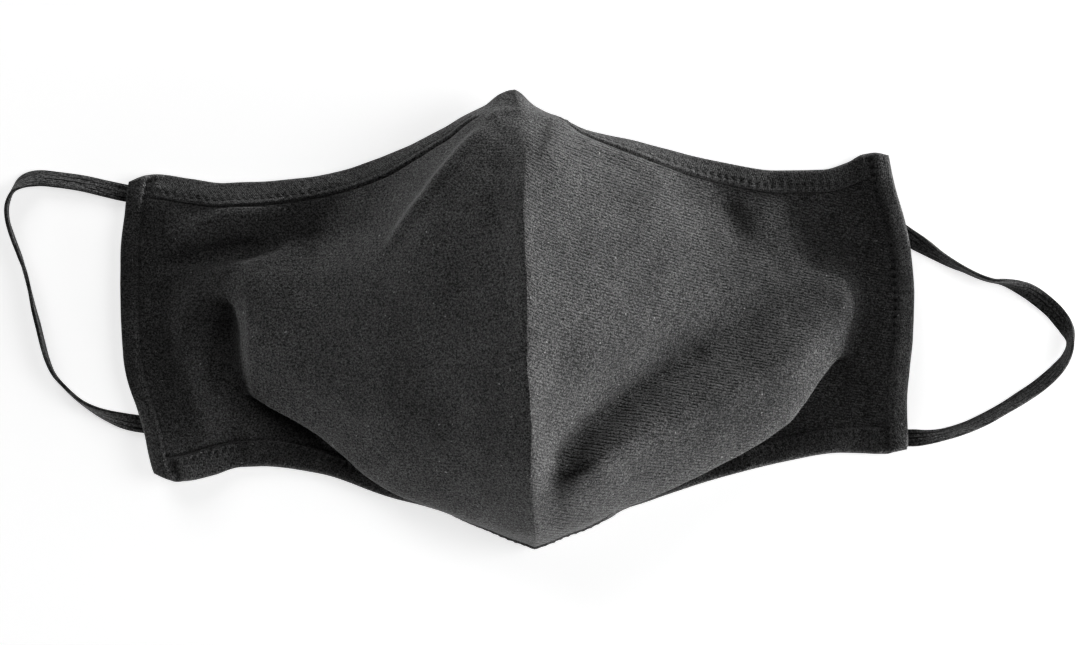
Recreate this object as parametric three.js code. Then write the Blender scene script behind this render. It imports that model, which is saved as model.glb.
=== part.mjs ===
import * as THREE from 'three';
import { mergeVertices } from 'three/addons/utils/BufferGeometryUtils.js';

// A contoured cloth face mask lying front up on a flat surface. Two curved panels meet at a raised centre
// seam. A turned hem runs along the nose edge and the chin edge, a folded casing runs down each side, and the
// ends of a flat elastic ear loop lie under each casing.
// Millimetres: +X runs along the mask, +Y towards the nose edge, +Z up. The surface is z = 0.

// driving dimensions
const seamX = 2; // the centre seam lies a little to the right of the middle
const sideX = 114.9; // furthest reach of each side edge
const casingWidth = 6.7;
const clothThickness = 1.4; // two layers of cotton
const hemThickness = 2.1;
const casingThickness = 2.5;
const edgeRounding = 0.7; // how far a turned edge drops at its outer corner
const stitchDepth = 0.4; // how far the stitching pulls a hem or casing down
const pieceGap = 0.3;
const mitreWidth = 4; // how far from the seam the wall turns square to it
const seamBlend = 25; // the straying of the seam line fades out this far from it
const slantStart = 70; // the slant of the side edges begins here and is complete at the casing
const elasticWidth = 5;
const elasticThickness = 1.2;
const elasticCorner = 0.35;
const elasticLift = 0.05; // air under the elastic where it lies on the surface
const loopSteps = 62;

// sections
// Each row is one section across the mask at x: the y and the z of the outer face at eleven named places, from
// the nose edge over the cup and under its lower rim to the chin edge.
const places = [
  'topEdge', 'topStitch', 'hollow', 'shoulder', 'crown', 'belly', 'crest', 'rim', 'root',
  'bottomStitch', 'bottomEdge',
];
const seamSection = {
  x: seamX,
  y: [65.4, 57.5, 47, 29, -4, -27, -45, -59.8, -63.3, -64.8, -65.6],
  z: [15, 22.5, 31.2, 39.6, 44.8, 41.4, 34.5, 21, 13.5, 9, 2.2],
};
const leftSections = [
  { x: -sideX,
    y: [44.8, 37.8, 22.5, 12.5, 1.5, -5.5, -11.5, -17, -25, -33.5, -39.7],
    z: [3.6, 3.6, 3.6, 3.6, 3.6, 3.6, 3.6, 3.6, 4, 6.2, 6.2] },
  { x: -111,
    y: [46.2, 39.4, 22.5, 12.5, 1.5, -5.5, -11.5, -17, -25, -34.8, -41.8],
    z: [4.3, 4.2, 4.2, 4.2, 4.2, 4.2, 4.2, 4.2, 5, 7.6, 7.6] },
  { x: -107.5,
    y: [46.7, 39.8, 22.5, 12.5, 1.5, -5.5, -11.5, -17, -25, -35, -42.1],
    z: [3.4, 3.4, 3, 3, 3, 3, 3, 3, 4.2, 6.8, 6.6] },
  { x: -96.5,
    y: [45.3, 38, 21, 11.5, 1.5, -5.5, -11.5, -17, -24, -33, -41],
    z: [2.6, 4.8, 4, 4.8, 4.8, 4.8, 4.6, 4.8, 4.8, 4.4, 3.6] },
  { x: -84,
    y: [43.5, 36.5, 25.5, 14.5, 0, -6, -10, -16, -20, -31.5, -39],
    z: [2.4, 5.4, 4.4, 6.2, 1.7, 1.5, 1.5, 1.6, 1.9, 2.2, 2.2] },
  { x: -79.5,
    y: [43.5, 36.5, 26, 14.5, -0.5, -7, -12, -17.5, -18.5, -31.5, -39],
    z: [2.3, 5.2, 4.4, 7.6, 6.4, 5.8, 4.8, 3.4, 1.9, 2, 2.1] },
  { x: -77,
    y: [43.5, 36.5, 26, 14.5, -1, -7, -12, -19.3, -18.3, -31.5, -39],
    z: [2.3, 5, 4.6, 8.8, 9.4, 9.2, 8, 5.4, 2, 1.8, 2.1] },
  { x: -59,
    y: [44.3, 37.8, 26.5, 14.5, -2, -12, -19.5, -30, -28.5, -34.8, -41.8],
    z: [2.4, 4.4, 4.8, 12, 16.8, 16.4, 14, 7.5, 3, 2, 2.1] },
  { x: -39,
    y: [48.5, 42.3, 31, 19, -2, -18, -30, -46.8, -45.4, -44, -49.6],
    z: [4.8, 8.4, 13.2, 20.2, 25, 24.6, 21.2, 10.5, 6, 3.6, 2] },
  { x: -19,
    y: [56.4, 52.3, 46, 39, 0, -22, -38, -53.6, -55.6, -55.6, -55.2],
    z: [10, 14.4, 21, 27, 33.4, 31.6, 26.5, 14.5, 10, 8, 2] },
  { x: -7.5,
    y: [62, 58.8, 55, 50, 0, -25, -41, -57, -60, -61, -61.3],
    z: [13, 19.5, 22.8, 26.8, 39.6, 37, 31, 17.5, 11.5, 8, 2] },
  seamSection,
];
const rightSections = [
  seamSection,
  { x: 10,
    y: [59.2, 57.8, 55, 49.5, -1, -36.5, -45.5, -59, -61.5, -62.2, -62.8],
    z: [12, 17.5, 20.8, 26.2, 38.6, 29.2, 28.4, 17, 11.5, 8.5, 2] },
  { x: 19.5,
    y: [54.9, 53.2, 49, 42, -5, -29.5, -41, -56.6, -58.2, -58.9, -59.3],
    z: [9, 14, 18.2, 23, 32.8, 24.2, 29.4, 15, 10, 7.8, 2] },
  { x: 39,
    y: [50, 45.2, 38, 29.5, -1, -17, -32, -50.6, -49.2, -47.3, -52.5],
    z: [5, 9, 12.8, 16.2, 20.6, 17, 23, 10.5, 5, 3.4, 2] },
  { x: 59,
    y: [44.4, 38.2, 29, 20, 5.5, -7.5, -24.5, -42, -40.7, -41.2, -46.9],
    z: [3, 4.4, 5.4, 8, 11, 11, 17.2, 8.8, 3.2, 2, 2.1] },
  { x: 77,
    y: [41, 34.5, 26, 17.5, 8.5, -0.5, -17, -32, -31, -36.2, -43.3],
    z: [2.1, 2.6, 3, 4, 6, 7.6, 12.2, 7.2, 2.4, 1.9, 2.1] },
  { x: 93.5,
    y: [40.7, 34.2, 23, 14, 6.5, 0.5, -6, -14, -14, -34.5, -41.5],
    z: [2.1, 2.1, 1.8, 2.3, 4.8, 5.4, 5, 3.8, 2, 1.8, 2.1] },
  { x: 102,
    y: [42.4, 35.7, 20.5, 10.5, 4.5, 0.5, -4.5, -10, -16.5, -34.5, -41.9],
    z: [2.2, 2.1, 1.8, 1.8, 2, 2.1, 2, 1.8, 1.7, 2, 2.2] },
  { x: 107.5,
    y: [44.6, 37.4, 21.5, 10.5, 4.5, 0.5, -4.5, -10, -17, -34.7, -42.2],
    z: [3.3, 3.1, 3, 3, 3, 3, 3, 3, 3, 3.1, 3.2] },
  { x: 111,
    y: [44.9, 37.3, 21.5, 10.5, 4.5, 0.5, -4.5, -10, -17, -34.3, -41.9],
    z: [4.3, 4.2, 4.2, 4.2, 4.2, 4.2, 4.2, 4.2, 4.2, 4.2, 4.2] },
  { x: sideX,
    y: [44, 36.3, 21.5, 10.5, 4.5, 0.5, -4.5, -10, -17, -33.6, -41.2],
    z: [4, 4, 4, 4, 4, 4, 4, 4, 4, 4, 4] },
];
// How far each side edge stands in from sideX: y, inset.
const leftInset = [
  [-45, 11.3], [-38, 7.7], [-29, 5.9], [-21, 3.6], [-11, 0.9], [-5, 0.2], [5, 0], [23, 0.5], [39, 2.7],
  [46, 4],
];
const rightInset = [
  [-45, 5], [-38, 3.4], [-29, 3.4], [-17, 2], [-9, 0.9], [5, 0], [16, 0.5], [23, 1.5], [35, 4.4],
  [45, 6],
];
// How far the seam strays sideways from its plane: y, x.
const seamLine = [
  [-66, 0.3], [-58, 0.6], [-46, 0.2], [-30, 0.9], [-12, 0.5], [10, 1.1], [34, 1.1], [42, 1.9],
  [50, 2.3], [56, 2.2], [60, 1.2], [63.5, -0.2], [66, -0.7],
];

// ear loops
// The route of each elastic: x and y of its middle, and its roll in degrees, 0 lying flat and 90 on edge.
const leftLoopRoute = [
  [-106.8, 40.6, 0], [-112.4, 41.7, 2], [-117.8, 43.1, 18], [-124.5, 44.9, 25], [-131.5, 46.2, 28],
  [-137.5, 46.9, 25], [-141.5, 46.1, 42], [-144.6, 43.4, 75], [-146.4, 39.5, 82], [-146.5, 35.4, 82],
  [-145.3, 30.5, 85], [-143.4, 24.8, 84], [-141.9, 19.7, 76], [-140.8, 14.4, 78], [-139.8, 8.9, 85],
  [-138.8, 4.4, 88], [-137.8, -0.5, 88], [-136.6, -5.5, 86], [-134.8, -10, 82], [-131.6, -14, 80],
  [-127.5, -18, 78], [-123.2, -20.9, 66], [-119, -22.9, 48], [-114.5, -24.5, 22], [-109.6, -25.6, 2],
  [-104.8, -26.4, 0],
];
const rightLoopRoute = [
  [107.6, 25.2, 0], [112.6, 21.4, 2], [115.9, 18.9, 18], [118.7, 16.9, 42], [122.2, 14.4, 62],
  [126.2, 11.9, 74], [130.2, 9.8, 84], [134.2, 7.8, 87], [137.7, 6.6, 88], [140.8, 6.1, 78],
  [144.4, 4.9, 58], [148.4, 2.9, 34], [152.4, -0.1, 18], [156.1, -3.9, 20], [158.6, -8.4, 52],
  [159.4, -12.4, 86], [158.2, -16, 78], [155.4, -19.6, 62], [150.4, -23.9, 54], [144.9, -27.4, 54],
  [139.2, -30.6, 60], [133.7, -33.4, 58], [128.2, -35.6, 60], [122.2, -37.2, 58], [117.2, -37.9, 44],
  [112.4, -38, 12], [105.6, -37.6, 0],
];

// curves
// A smooth curve through points in rising order that never overshoots them: cubic pieces whose slope at each
// point is the harmonic mean of the slopes on either side, or zero at a peak.
function smoothThrough(points) {
  const rises = points.slice(1).map((p, i) => (p[1] - points[i][1]) / (p[0] - points[i][0]));
  const slopes = points.map((p, i) => {
    const before = rises[Math.max(i - 1, 0)];
    const after = rises[Math.min(i, rises.length - 1)];
    return before * after <= 0 ? 0 : (2 * before * after) / (before + after);
  });
  return (at) => {
    let i = 0;
    while (i < points.length - 2 && at > points[i + 1][0]) i += 1;
    const width = points[i + 1][0] - points[i][0];
    const s = THREE.MathUtils.clamp((at - points[i][0]) / width, 0, 1);
    const leaving = (1 + 2 * s) * (1 - s) ** 2 * points[i][1] + s * (1 - s) ** 2 * width * slopes[i];
    const arriving = s * s * (3 - 2 * s) * points[i + 1][1] + s * s * (s - 1) * width * slopes[i + 1];
    return leaving + arriving;
  };
}

const seamLineAt = smoothThrough(seamLine);

// One half of the mask: curves along x for the y and z of every named place, and one along y for the inset.
function makeHalf(sections, inset) {
  const along = (key, place) => smoothThrough(sections.map((section) => [section.x, section[key][place]]));
  return {
    sign: sections[0].x < -seamX ? -1 : 1,
    yAt: places.map((name, place) => along('y', place)),
    zAt: places.map((name, place) => along('z', place)),
    insetAt: smoothThrough(inset),
  };
}

// The outer face at x and place number t, which counts from 0 at the nose edge to 10 at the chin edge.
function outerPoint(half, x, t) {
  const knots = places.map((name, place) => new THREE.Vector3(x, half.yAt[place](x), half.zAt[place](x)));
  const point = new THREE.CatmullRomCurve3(knots).getPoint(t / (places.length - 1));
  const slant = THREE.MathUtils.smoothstep(Math.abs(x), slantStart, sideX - casingWidth);
  point.x -= half.sign * slant * half.insetAt(point.y);
  point.x += seamLineAt(point.y) * (1 - THREE.MathUtils.smoothstep(Math.abs(x - seamX), 0, seamBlend));
  return point;
}

// Outward direction of the face at (x, t), turned into the seam plane beside the seam so that the two halves
// meet on it.
function outwardAt(half, x, t) {
  const dx = 0.4;
  const dt = 0.04;
  const east = outerPoint(half, x + dx, t).sub(outerPoint(half, x - dx, t));
  const ahead = Math.min(t + dt, places.length - 1);
  const behind = Math.max(t - dt, 0);
  const south = outerPoint(half, x, ahead).sub(outerPoint(half, x, behind));
  const normal = south.cross(east).normalize();
  normal.x *= THREE.MathUtils.smoothstep(Math.abs(x - seamX), 0, mitreWidth);
  return normal.normalize();
}

// Place number that lies a distance in mm past a named place, or before it where the distance is negative.
function beside(half, x, name, distance) {
  const t = places.indexOf(name);
  const stride = outerPoint(half, x, t).distanceTo(outerPoint(half, x, t + Math.sign(distance)));
  return t + distance / stride;
}

// Whole numbers from first to last, with each step cut into the given number of parts.
function subdivided(first, last, parts) {
  const values = [];
  for (let i = 0; i <= (last - first) * parts; i += 1) values.push(first + i / parts);
  return values;
}

// shells
// A closed shell on the outer face. xs are its sections, placesAt(x) its place numbers there, and
// depthAt(i, j) gives how far its top and its underside lie below the outer face at section i, place j.
// An underside that would sink into the surface is pressed flat on it.
function shell(half, xs, placesAt, depthAt) {
  const sections = xs.map((x) =>
    placesAt(x).map((t) => ({ at: outerPoint(half, x, t), out: outwardAt(half, x, t) })),
  );
  const iLast = xs.length - 1;
  const jLast = sections[0].length - 1;
  const geometry = new THREE.BoxGeometry(1, 1, 1, iLast, jLast, 1);
  const position = geometry.getAttribute('position');
  for (let n = 0; n < position.count; n += 1) {
    const i = Math.round((position.getX(n) + 0.5) * iLast);
    const j = Math.round((0.5 - position.getY(n)) * jLast);
    const [top, underside] = depthAt(i / iLast, j / jLast);
    const { at, out } = sections[i][j];
    const point = at.clone().addScaledVector(out, position.getZ(n) > 0 ? -top : -underside);
    position.setXYZ(n, point.x, point.y, Math.max(point.z, 0));
  }
  return weld(geometry);
}

function weld(geometry) {
  geometry.deleteAttribute('normal');
  geometry.deleteAttribute('uv');
  const welded = mergeVertices(geometry, 1e-5);
  welded.computeVertexNormals();
  return welded;
}

// Sections of one half, counted outwards from the seam and in rising x: closer where the cup turns down.
function panelSections(half) {
  const fromSeam = [
    pieceGap / 2, 3, 7, 11, 16, 21, 27, 33, 39, 45, 51, 57, 62, 67, 71, 74, 77, 80, 83, 87, 91, 95, 99,
  ];
  const reach = sideX - casingWidth - pieceGap;
  const xs = [...fromSeam.map((distance) => seamX + half.sign * distance), half.sign * reach];
  return xs.sort((a, b) => a - b);
}

function panel(half) {
  const placesAt = (x) => [
    beside(half, x, 'topStitch', pieceGap / 2),
    ...subdivided(1, 9, 4).slice(1, -1),
    beside(half, x, 'bottomStitch', -pieceGap / 2),
  ];
  return shell(half, panelSections(half), placesAt, () => [0, clothThickness]);
}

// A turned hem between a panel and the open edge: rounded at the edge, pulled down at the stitching.
function hem(half, edge, stitch) {
  const edgePlace = places.indexOf(edge);
  const inward = Math.sign(places.indexOf(stitch) - edgePlace);
  const placesAt = (x) => {
    const inner = beside(half, x, stitch, (-inward * pieceGap) / 2);
    const ts = [edgePlace, edgePlace + inward * 0.15, edgePlace + inward * 0.75, inner];
    return inward > 0 ? ts : ts.reverse();
  };
  const depthAt = (i, j) => {
    const fromEdge = inward > 0 ? j : 1 - j;
    if (fromEdge === 0) return [edgeRounding, hemThickness - edgeRounding / 2];
    return [fromEdge === 1 ? stitchDepth : 0, hemThickness];
  };
  return shell(half, panelSections(half), placesAt, depthAt);
}

// The folded casing down a side edge: stitched down on its inner side, rounded on its outer side.
function casing(half) {
  const widths = [0, 1.2, 4.2, casingWidth];
  const xs = widths.map((width) => half.sign * (sideX - casingWidth + width)).sort((a, b) => a - b);
  const depthAt = (i) => {
    const outwards = half.sign > 0 ? i : 1 - i;
    if (outwards === 0) return [stitchDepth / 2, clothThickness];
    if (outwards === 1) return [edgeRounding, casingThickness - edgeRounding];
    return [0, outwards < 0.5 ? clothThickness + stitchDepth : casingThickness];
  };
  return shell(half, xs, () => subdivided(0, 10, 3), depthAt);
}

// A flat elastic along a route. Its section, a flat strip with cut corners, is drawn with the width along X
// and extruded along Z; then each slice is moved to its place on the route and rolled about it.
function elastic(route) {
  const halfWidth = elasticWidth / 2;
  const halfThickness = elasticThickness / 2;
  const outline = new THREE.Shape();
  outline.moveTo(-halfWidth + elasticCorner, -halfThickness);
  outline.lineTo(halfWidth - elasticCorner, -halfThickness);
  outline.lineTo(halfWidth, -halfThickness + elasticCorner);
  outline.lineTo(halfWidth, halfThickness - elasticCorner);
  outline.lineTo(halfWidth - elasticCorner, halfThickness);
  outline.lineTo(-halfWidth + elasticCorner, halfThickness);
  outline.lineTo(-halfWidth, halfThickness - elasticCorner);
  outline.lineTo(-halfWidth, -halfThickness + elasticCorner);
  const geometry = new THREE.ExtrudeGeometry(outline, { depth: 1, steps: loopSteps, bevelEnabled: false });
  const middle = new THREE.CatmullRomCurve3(route.map(([x, y]) => new THREE.Vector3(x, y, 0)));
  const rollAt = smoothThrough(route.map((row, index) => [index / (route.length - 1), row[2]]));
  const position = geometry.getAttribute('position');
  for (let n = 0; n < position.count; n += 1) {
    const s = THREE.MathUtils.clamp(position.getZ(n), 0, 1);
    const roll = THREE.MathUtils.degToRad(rollAt(s));
    const along = middle.getTangent(s);
    const across = new THREE.Vector3(-along.y, along.x, 0).normalize();
    const up = new THREE.Vector3(0, 0, 1);
    const width = across.clone().multiplyScalar(Math.cos(roll)).addScaledVector(up, Math.sin(roll));
    const thickness = up.clone().multiplyScalar(Math.cos(roll)).addScaledVector(across, -Math.sin(roll));
    const point = middle.getPoint(s);
    point.z = halfWidth * Math.sin(roll) + halfThickness * Math.cos(roll) + elasticLift;
    point.addScaledVector(width, position.getX(n)).addScaledVector(thickness, position.getY(n));
    position.setXYZ(n, point.x, point.y, point.z);
  }
  return weld(geometry);
}

// materials
const panelCloth = () => new THREE.MeshStandardMaterial({ color: 0x17171a, roughness: 0.95, metalness: 0 });
const hemCloth = () => new THREE.MeshStandardMaterial({ color: 0x1c1c1f, roughness: 0.95, metalness: 0 });
const ribbedElastic = () => new THREE.MeshStandardMaterial({ color: 0x202023, roughness: 0.8, metalness: 0 });

// assembly
const mask = new THREE.Group();

function addPiece(name, geometry, material) {
  const piece = new THREE.Mesh(geometry, material);
  piece.name = name;
  mask.add(piece);
}

const halves = {
  left: { shape: makeHalf(leftSections, leftInset), route: leftLoopRoute },
  right: { shape: makeHalf(rightSections, rightInset), route: rightLoopRoute },
};
for (const [side, { shape, route }] of Object.entries(halves)) {
  addPiece(`panel_${side}`, panel(shape), panelCloth());
  addPiece(`top_hem_${side}`, hem(shape, 'topEdge', 'topStitch'), hemCloth());
  addPiece(`bottom_hem_${side}`, hem(shape, 'bottomEdge', 'bottomStitch'), hemCloth());
  addPiece(`side_casing_${side}`, casing(shape), hemCloth());
  addPiece(`ear_loop_${side}`, elastic(route), ribbedElastic());
}

export default mask;
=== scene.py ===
import math

import bpy
import numpy as np
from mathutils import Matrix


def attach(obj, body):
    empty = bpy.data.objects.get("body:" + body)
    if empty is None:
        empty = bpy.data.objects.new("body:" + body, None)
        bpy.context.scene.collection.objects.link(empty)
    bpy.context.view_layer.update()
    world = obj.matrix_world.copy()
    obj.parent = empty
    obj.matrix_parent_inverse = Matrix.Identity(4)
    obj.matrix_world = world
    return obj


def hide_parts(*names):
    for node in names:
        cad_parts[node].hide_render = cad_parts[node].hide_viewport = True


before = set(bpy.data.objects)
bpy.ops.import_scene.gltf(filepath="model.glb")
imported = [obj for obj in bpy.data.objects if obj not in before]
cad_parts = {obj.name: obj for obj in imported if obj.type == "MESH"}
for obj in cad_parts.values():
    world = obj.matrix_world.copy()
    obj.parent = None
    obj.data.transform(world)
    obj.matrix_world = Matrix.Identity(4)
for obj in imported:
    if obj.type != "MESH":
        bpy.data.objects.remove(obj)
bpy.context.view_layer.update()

mm = 0.001
print("frame loaded:", len(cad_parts), "nodes")

# camera: straight above, turned a little, far enough for a mild perspective
viewPlan = {"over": (6.35, -0.45), "height": 650, "turn": -2.2, "lens": 74.6}


# A camera that looks straight down, turned about the vertical.
def makeCamera(plan):
    camera = bpy.data.objects.new("camera", bpy.data.cameras.new("camera"))
    camera.location = (plan["over"][0] * mm, plan["over"][1] * mm, plan["height"] * mm)
    camera.rotation_euler = (0, 0, math.radians(plan["turn"]))
    camera.data.lens = plan["lens"]
    camera.data.clip_start = 0.01
    bpy.context.collection.objects.link(camera)
    bpy.context.scene.camera = camera


makeCamera(viewPlan)


# A smooth curve through points that never overshoots them: cubic pieces whose slope at each point is the
# harmonic mean of the slopes on either side, or zero at a peak. ys may have several columns.
def smoothThrough(xs, ys, at):
    xs, ys, at = np.asarray(xs, float), np.asarray(ys, float), np.asarray(at, float)
    ys = ys.reshape(len(xs), -1)
    width = np.diff(xs)[:, None]
    rise = np.diff(ys, axis=0) / width
    before = np.vstack([rise[:1], rise])
    after = np.vstack([rise, rise[-1:]])
    product = before * after
    slope = np.where(product > 0, 2 * product / np.where(product > 0, before + after, 1), 0)
    i = np.clip(np.searchsorted(xs, at, side="right") - 1, 0, len(xs) - 2)
    s = np.clip((at - xs[i]) / width[i, 0], 0, 1)[:, None]
    leaving = (1 + 2 * s) * (1 - s) ** 2 * ys[i] + s * (1 - s) ** 2 * width[i] * slope[i]
    arriving = s * s * (3 - 2 * s) * ys[i + 1] + s * s * (s - 1) * width[i] * slope[i + 1]
    return leaving + arriving


# 0 below low, 1 above high and 3 s^2 - 2 s^3 between.
def smoothStep(value, low, high):
    s = np.clip((value - low) / (high - low), 0, 1)
    return s * s * (3 - 2 * s)


# A closed mesh from a grid of quads on the outer side, the same grid on the inner side and a strip round
# the rim. The rim's edges stay sharp. uv holds one pair for each grid point, in mm of cloth.
def closedGrid(name, outer, inner, uv):
    rows, columns = outer.shape[:2]
    index = np.arange(rows * columns).reshape(rows, columns)
    a, b, c, d = index[:-1, :-1], index[1:, :-1], index[1:, 1:], index[:-1, 1:]
    front = np.stack([a, b, c, d], -1).reshape(-1, 4)
    back = front[:, ::-1] + rows * columns
    rim = np.concatenate([index[:-1, 0], index[-1, :-1], index[:0:-1, -1], index[0, :0:-1]])
    after = np.roll(rim, -1)
    wall = np.stack([after, rim, rim + rows * columns, after + rows * columns], -1)
    piece = quadMesh(name, np.concatenate([outer.reshape(-1, 3), inner.reshape(-1, 3)]),
                     np.concatenate([front, back, wall]), np.tile(uv.reshape(-1, 2), (2, 1)))
    onRim = np.zeros(2 * rows * columns, bool)
    onRim[rim] = onRim[rim + rows * columns] = True
    ends = np.zeros(2 * len(piece.data.edges), np.int32)
    piece.data.edges.foreach_get("vertices", ends)
    ends = ends.reshape(-1, 2)
    piece.data.edges.foreach_set("use_edge_sharp", onRim[ends].all(1))
    return piece


# A smooth mesh from points in mm and rows of corner numbers, with the cloth coordinates on its corners.
def quadMesh(name, points, quads, uv=None):
    mesh = bpy.data.meshes.new(name)
    mesh.vertices.add(len(points))
    mesh.vertices.foreach_set("co", (points * mm).astype(np.float32).ravel())
    mesh.loops.add(quads.size)
    mesh.loops.foreach_set("vertex_index", quads.astype(np.int32).ravel())
    mesh.polygons.add(len(quads))
    mesh.polygons.foreach_set("loop_start", np.arange(0, quads.size, quads.shape[1], dtype=np.int32))
    mesh.polygons.foreach_set("use_smooth", np.ones(len(quads), bool))
    mesh.update(calc_edges=True)
    if uv is not None:
        layer = mesh.uv_layers.new(name="clothMm")
        layer.data.foreach_set("uv", uv[quads.ravel()].astype(np.float32).ravel())
    mesh.validate()
    piece = bpy.data.objects.new(name, mesh)
    bpy.context.collection.objects.link(piece)
    return piece


# ear loops: a flat ribbed elastic laid on the surface, its ends under the casings
# A row of a route is the x and y of the elastic's middle, and its roll in degrees, 0 lying flat, 90 on edge.
elastic = {"width": 5.0, "thickness": 1.2, "ribs": 4, "ribDepth": 0.16, "ribbedShare": 0.93, "lift": 0.05,
           "edgeCurve": 0.55, "faceCurve": 0.3, "steps": 420, "round": 44, "fine": 4000, "floorGap": 0.02,
           "pathStep": 6}
leftLoopRoute = [
    (-106.8, 40.6, 0), (-112.4, 41.7, 2), (-117.8, 43.1, 18), (-124.5, 44.9, 25), (-131.5, 46.2, 28),
    (-137.5, 46.9, 25), (-141.5, 46.1, 42), (-144.6, 43.4, 75), (-146.4, 39.5, 82), (-146.5, 35.4, 82),
    (-145.3, 30.5, 85), (-143.4, 24.8, 84), (-141.9, 19.7, 76), (-140.8, 14.4, 78), (-139.8, 8.9, 85),
    (-138.8, 4.4, 88), (-137.8, -0.5, 88), (-136.6, -5.5, 86), (-134.8, -10, 82), (-131.6, -14, 80),
    (-127.5, -18, 78), (-123.2, -20.9, 66), (-119, -22.9, 48), (-114.5, -24.5, 22), (-109.6, -25.6, 2),
    (-104.8, -26.4, 0)]
rightLoopRoute = [
    (107.6, 25.2, 0), (112.6, 21.4, 2), (115.9, 18.9, 18), (118.7, 16.9, 42), (122.2, 14.4, 62),
    (126.2, 11.9, 74), (130.2, 9.8, 84), (134.2, 7.8, 87), (137.7, 6.6, 88), (140.8, 6.1, 78),
    (144.4, 4.9, 58), (148.4, 2.9, 34), (152.4, -0.1, 18), (156.1, -3.9, 20), (158.6, -8.4, 52),
    (159.4, -12.4, 86), (158.2, -16, 78), (155.4, -19.6, 62), (150.4, -23.9, 54), (144.9, -27.4, 54),
    (139.2, -30.6, 60), (133.7, -33.4, 58), (128.2, -35.6, 60), (122.2, -37.2, 58), (117.2, -37.9, 44),
    (112.4, -38, 12), (105.6, -37.6, 0)]


# Points of a centripetal curve through knots (..., knot, axis) at t, a knot number that need not be
# whole: between two knots a cubic whose end slopes come from the neighbours, each weighed by the root of
# the distance to it.
def curveThrough(knots, t):
    first = 2 * knots[..., :1, :] - knots[..., 1:2, :]
    last = 2 * knots[..., -1:, :] - knots[..., -2:-1, :]
    padded = np.concatenate([first, knots, last], -2)
    k = np.clip(np.floor(t).astype(int), 0, knots.shape[-2] - 2)
    s = (t - k)[:, None]
    p0, p1, p2, p3 = (padded[..., k + n, :] for n in range(4))
    gap = lambda p, q: np.maximum(np.sqrt(np.linalg.norm(q - p, axis=-1, keepdims=True)), 1e-4)
    d0, d1, d2 = gap(p0, p1), gap(p1, p2), gap(p2, p3)
    slope1 = ((p1 - p0) / d0 - (p2 - p0) / (d0 + d1) + (p2 - p1) / d1) * d1
    slope2 = ((p2 - p1) / d1 - (p3 - p1) / (d1 + d2) + (p3 - p2) / d2) * d1
    rest = -3 * p1 + 3 * p2 - 2 * slope1 - slope2
    cube = 2 * p1 - 2 * p2 + slope1 + slope2
    return p1 + slope1 * s + rest * s ** 2 + cube * s ** 3


# A flat strip carried along its route and rolled about it. The middle is a curve through the route,
# lifted so that the lowest corner touches the surface. The section is a flattened ring with shallow ribs
# along both faces: across = half width * sin-like, through = half thickness * cos-like, less the ribs'
# depth between ribs.
def makeLoop(name, node, route, plan):
    route = np.array(route, float)
    fine = np.linspace(0, len(route) - 1, plan["fine"])
    line = curveThrough(route[:, :2], fine)
    run = np.concatenate([[0], np.cumsum(np.linalg.norm(np.diff(line, axis=0), axis=1))])
    at = np.interp(np.linspace(0, run[-1], plan["steps"]), run, fine)
    middle = curveThrough(route[:, :2], at)
    roll = np.radians(smoothThrough(np.arange(len(route)), route[:, 2], at)[:, 0])
    along = np.gradient(middle, axis=0)
    along /= np.linalg.norm(along, axis=1, keepdims=True)
    flat = np.zeros(len(at))
    side = np.stack([-along[:, 1], along[:, 0], flat], 1)
    up = np.stack([flat, flat, flat + 1], 1)
    sine, cosine = np.sin(roll)[:, None], np.cos(roll)[:, None]
    half, thin = plan["width"] / 2, plan["thickness"] / 2
    lift = half * np.sin(roll) + thin * np.cos(roll) + plan["lift"]
    centre = np.column_stack([middle, lift])
    turn = np.linspace(0, 2 * np.pi, plan["round"], endpoint=False)
    across = half * np.sign(np.cos(turn)) * np.abs(np.cos(turn)) ** plan["edgeCurve"]
    through = thin * np.sign(np.sin(turn)) * np.abs(np.sin(turn)) ** plan["faceCurve"]
    rib = 0.5 - 0.5 * np.cos(2 * np.pi * plan["ribs"] * (across / plan["width"] + 0.5))
    ribbed = np.abs(across) < plan["ribbedShare"] * half
    through -= np.sign(through) * plan["ribDepth"] * (1 - rib) * ribbed
    ring = (centre[:, None] + across[None, :, None] * (side * cosine + up * sine)[:, None]
            + through[None, :, None] * (up * cosine - side * sine)[:, None])
    ring[..., 2] = np.maximum(ring[..., 2], plan["floorGap"])
    steps, count = ring.shape[:2]
    index = np.arange(steps * count).reshape(steps, count)
    after = np.roll(index, -1, axis=1)
    quads = np.stack([index[:-1], index[1:], after[1:], after[:-1]], -1).reshape(-1, 4)
    ends = np.vstack([ring[0].mean(0), ring[-1].mean(0)])
    tip = steps * count
    caps = np.concatenate([np.stack([index[0], after[0], np.full(count, tip)], -1),
                           np.stack([after[-1], index[-1], np.full(count, tip + 1)], -1)])
    uv = np.stack([np.repeat(np.linspace(0, run[-1], steps)[:, None], count, 1),
                   np.repeat(across[None], steps, 0)], -1).reshape(-1, 2)
    uv = np.vstack([uv, uv[:1], uv[-1:]])
    mesh = bpy.data.meshes.new(name)
    points = np.vstack([ring.reshape(-1, 3), ends]) * mm
    mesh.from_pydata(points, [], quads.tolist() + caps.tolist())
    mesh.polygons.foreach_set("use_smooth", np.ones(len(mesh.polygons), bool))
    layer = mesh.uv_layers.new(name="clothMm")
    loops = np.zeros(len(mesh.loops), np.int32)
    mesh.loops.foreach_get("vertex_index", loops)
    layer.data.foreach_set("uv", uv[loops].astype(np.float32).ravel())
    piece = bpy.data.objects.new(name, mesh)
    bpy.context.collection.objects.link(piece)
    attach(piece, "root")
    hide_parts(node)
    return piece


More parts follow.
